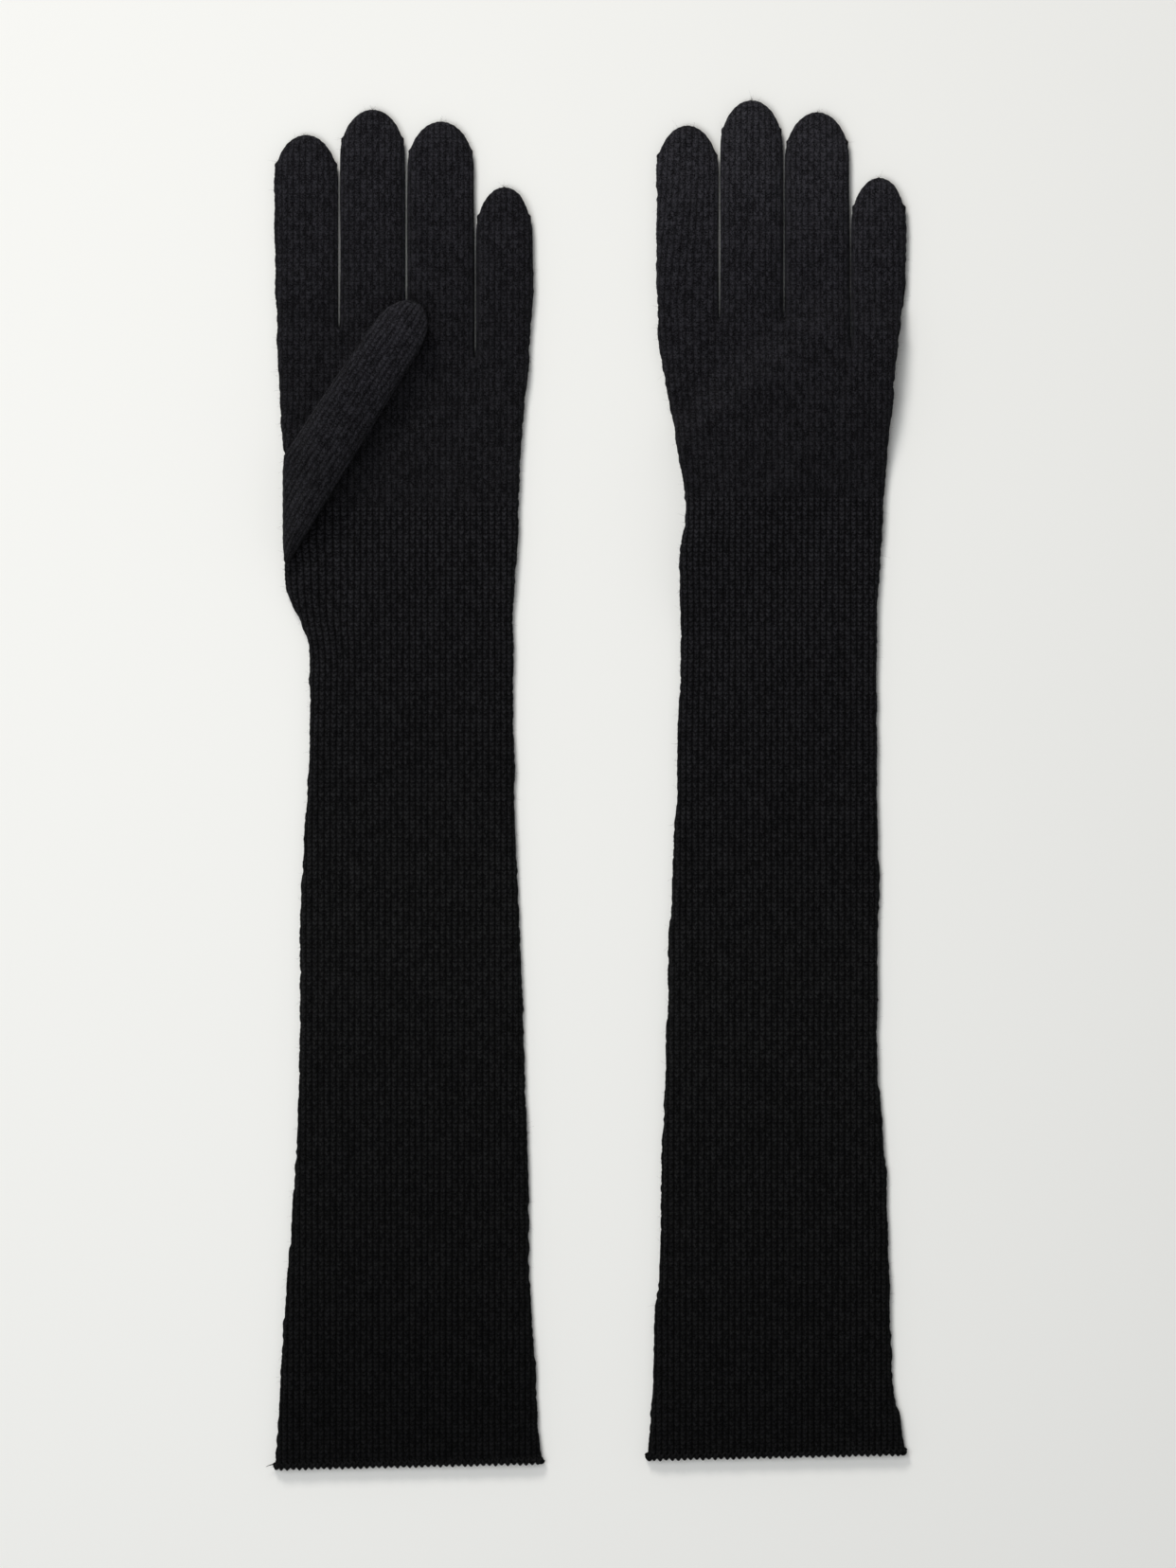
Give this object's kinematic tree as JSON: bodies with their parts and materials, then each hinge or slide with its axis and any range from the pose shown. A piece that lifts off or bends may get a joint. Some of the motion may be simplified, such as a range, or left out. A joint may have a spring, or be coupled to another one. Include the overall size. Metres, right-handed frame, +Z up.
{
  "type": "long knitted gloves",
  "caption": "Pair of long opera-length knitted gloves lying flat, each one seamless tube from a cast-on edge above the elbow to closed fingertips, with the thumbs folded in.",
  "frame": {"origin": "middle of the pair's outline, on the surface that the gloves lie on", "axes": "+Y from the arm openings to the fingertips, +X from the left glove to the right one, +Z up from the surface"},
  "size_m": [0.2364, 0.512, 0.0131],
  "materials": {
    "plain_knit": "matte fine wool stocking stitch with a soft fuzz",
    "rib_knit": "matte fine wool knit with upright ribs",
    "edge_yarn": "matte wool cast-on edge, tight and bumpy"
  },
  "bodies": {
    "left_forearm": {"left_forearm_sleeve": "rib_knit"},
    "left_upper_arm": {"left_upper_sleeve": "rib_knit", "left_cuff_edge": "edge_yarn"},
    "left_palm": {"left_hand": "plain_knit"},
    "left_index_lower": {"left_index_finger_lower": "plain_knit"},
    "left_index_end": {"left_index_finger_tip": "plain_knit"},
    "left_middle_lower": {"left_middle_finger_lower": "plain_knit"},
    "left_middle_end": {"left_middle_finger_tip": "plain_knit"},
    "left_ring_lower": {"left_ring_finger_lower": "plain_knit"},
    "left_ring_end": {"left_ring_finger_tip": "plain_knit"},
    "left_little_lower": {"left_little_finger_lower": "plain_knit"},
    "left_little_end": {"left_little_finger_tip": "plain_knit"},
    "left_thumb": {"left_thumb_lower": "plain_knit"},
    "left_thumb_end": {"left_thumb_tip": "plain_knit"},
    "right_forearm": {"right_forearm_sleeve": "rib_knit"},
    "right_upper_arm": {"right_upper_sleeve": "rib_knit", "right_cuff_edge": "edge_yarn"},
    "right_palm": {"right_hand": "plain_knit"},
    "right_index_lower": {"right_index_finger_lower": "plain_knit"},
    "right_index_end": {"right_index_finger_tip": "plain_knit"},
    "right_middle_lower": {"right_middle_finger_lower": "plain_knit"},
    "right_middle_end": {"right_middle_finger_tip": "plain_knit"},
    "right_ring_lower": {"right_ring_finger_lower": "plain_knit"},
    "right_ring_end": {"right_ring_finger_tip": "plain_knit"},
    "right_little_lower": {"right_little_finger_lower": "plain_knit"},
    "right_little_end": {"right_little_finger_tip": "plain_knit"},
    "right_thumb": {"right_thumb_lower": "plain_knit"},
    "right_thumb_end": {"right_thumb_tip": "plain_knit"}
  },
  "joints": [
    {"name": "right_glove_lift", "type": "slide", "parent": "left_forearm", "child": "right_forearm", "axis": [0, 0, 1], "range_m": [0, 0.12]},
    {"name": "left_elbow_fold", "type": "hinge", "parent": "left_forearm", "child": "left_upper_arm", "pos_m": [-0.06745, -0.136, 0.0064], "axis": [-1, 0, 0], "range_deg": [0, 175]},
    {"name": "left_wrist_fold", "type": "hinge", "parent": "left_forearm", "child": "left_palm", "pos_m": [-0.06745, 0.048, 0.0064], "axis": [1, 0, 0], "range_deg": [0, 120]},
    {"name": "left_thumb_fold", "type": "hinge", "parent": "left_palm", "child": "left_thumb", "pos_m": [-0.11425, 0.1015, 0.00655], "axis": [0, -1, 0], "range_deg": [0, 175]},
    {"name": "left_thumb_knuckle", "type": "hinge", "parent": "left_thumb", "child": "left_thumb_end", "pos_m": [-0.08702, 0.14343, 0.0131], "axis": [0.8387, -0.5446, 0], "range_deg": [0, 90]},
    {"name": "left_index_root_fold", "type": "hinge", "parent": "left_palm", "child": "left_index_lower", "pos_m": [-0.10615, 0.186, 0.0064], "axis": [1, 0, 0], "range_deg": [0, 85]},
    {"name": "left_index_middle_fold", "type": "hinge", "parent": "left_index_lower", "child": "left_index_end", "pos_m": [-0.10615, 0.214, 0.0064], "axis": [1, 0, 0], "range_deg": [0, 95]},
    {"name": "left_middle_root_fold", "type": "hinge", "parent": "left_palm", "child": "left_middle_lower", "pos_m": [-0.08125, 0.186, 0.0064], "axis": [1, 0, 0], "range_deg": [0, 85]},
    {"name": "left_middle_middle_fold", "type": "hinge", "parent": "left_middle_lower", "child": "left_middle_end", "pos_m": [-0.08125, 0.218, 0.0064], "axis": [1, 0, 0], "range_deg": [0, 95]},
    {"name": "left_ring_root_fold", "type": "hinge", "parent": "left_palm", "child": "left_ring_lower", "pos_m": [-0.0558, 0.186, 0.0064], "axis": [1, 0, 0], "range_deg": [0, 85]},
    {"name": "left_ring_middle_fold", "type": "hinge", "parent": "left_ring_lower", "child": "left_ring_end", "pos_m": [-0.0558, 0.216, 0.0064], "axis": [1, 0, 0], "range_deg": [0, 95]},
    {"name": "left_little_root_fold", "type": "hinge", "parent": "left_palm", "child": "left_little_lower", "pos_m": [-0.03195, 0.186, 0.0064], "axis": [1, 0, 0], "range_deg": [0, 85]},
    {"name": "left_little_middle_fold", "type": "hinge", "parent": "left_little_lower", "child": "left_little_end", "pos_m": [-0.03195, 0.201, 0.0064], "axis": [1, 0, 0], "range_deg": [0, 95]},
    {"name": "right_elbow_fold", "type": "hinge", "parent": "right_forearm", "child": "right_upper_arm", "pos_m": [0.07015, -0.1325, 0.0064], "axis": [-1, 0, 0], "range_deg": [0, 175]},
    {"name": "right_wrist_fold", "type": "hinge", "parent": "right_forearm", "child": "right_palm", "pos_m": [0.07015, 0.0515, 0.0064], "axis": [1, 0, 0], "range_deg": [0, 120]},
    {"name": "right_thumb_fold", "type": "hinge", "parent": "right_palm", "child": "right_thumb", "pos_m": [0.03285, 0.105, 0.00655], "axis": [0, 1, 0], "range_deg": [0, 150]},
    {"name": "right_thumb_knuckle", "type": "hinge", "parent": "right_thumb", "child": "right_thumb_end", "pos_m": [0.07171, 0.13647, 0], "axis": [-0.6293, 0.7771, 0], "range_deg": [0, 60]},
    {"name": "right_index_root_fold", "type": "hinge", "parent": "right_palm", "child": "right_index_lower", "pos_m": [0.0365, 0.1895, 0.0064], "axis": [1, 0, 0], "range_deg": [0, 85]},
    {"name": "right_index_middle_fold", "type": "hinge", "parent": "right_index_lower", "child": "right_index_end", "pos_m": [0.0365, 0.2175, 0.0064], "axis": [1, 0, 0], "range_deg": [0, 95]},
    {"name": "right_middle_root_fold", "type": "hinge", "parent": "right_palm", "child": "right_middle_lower", "pos_m": [0.06048, 0.1895, 0.0064], "axis": [1, 0, 0], "range_deg": [0, 85]},
    {"name": "right_middle_middle_fold", "type": "hinge", "parent": "right_middle_lower", "child": "right_middle_end", "pos_m": [0.06048, 0.2215, 0.0064], "axis": [1, 0, 0], "range_deg": [0, 95]},
    {"name": "right_ring_root_fold", "type": "hinge", "parent": "right_palm", "child": "right_ring_lower", "pos_m": [0.08498, 0.1895, 0.0064], "axis": [1, 0, 0], "range_deg": [0, 85]},
    {"name": "right_ring_middle_fold", "type": "hinge", "parent": "right_ring_lower", "child": "right_ring_end", "pos_m": [0.08498, 0.2195, 0.0064], "axis": [1, 0, 0], "range_deg": [0, 95]},
    {"name": "right_little_root_fold", "type": "hinge", "parent": "right_palm", "child": "right_little_lower", "pos_m": [0.10795, 0.1895, 0.0064], "axis": [1, 0, 0], "range_deg": [0, 85]},
    {"name": "right_little_middle_fold", "type": "hinge", "parent": "right_little_lower", "child": "right_little_end", "pos_m": [0.10795, 0.2045, 0.0064], "axis": [1, 0, 0], "range_deg": [0, 95]}
  ]
}
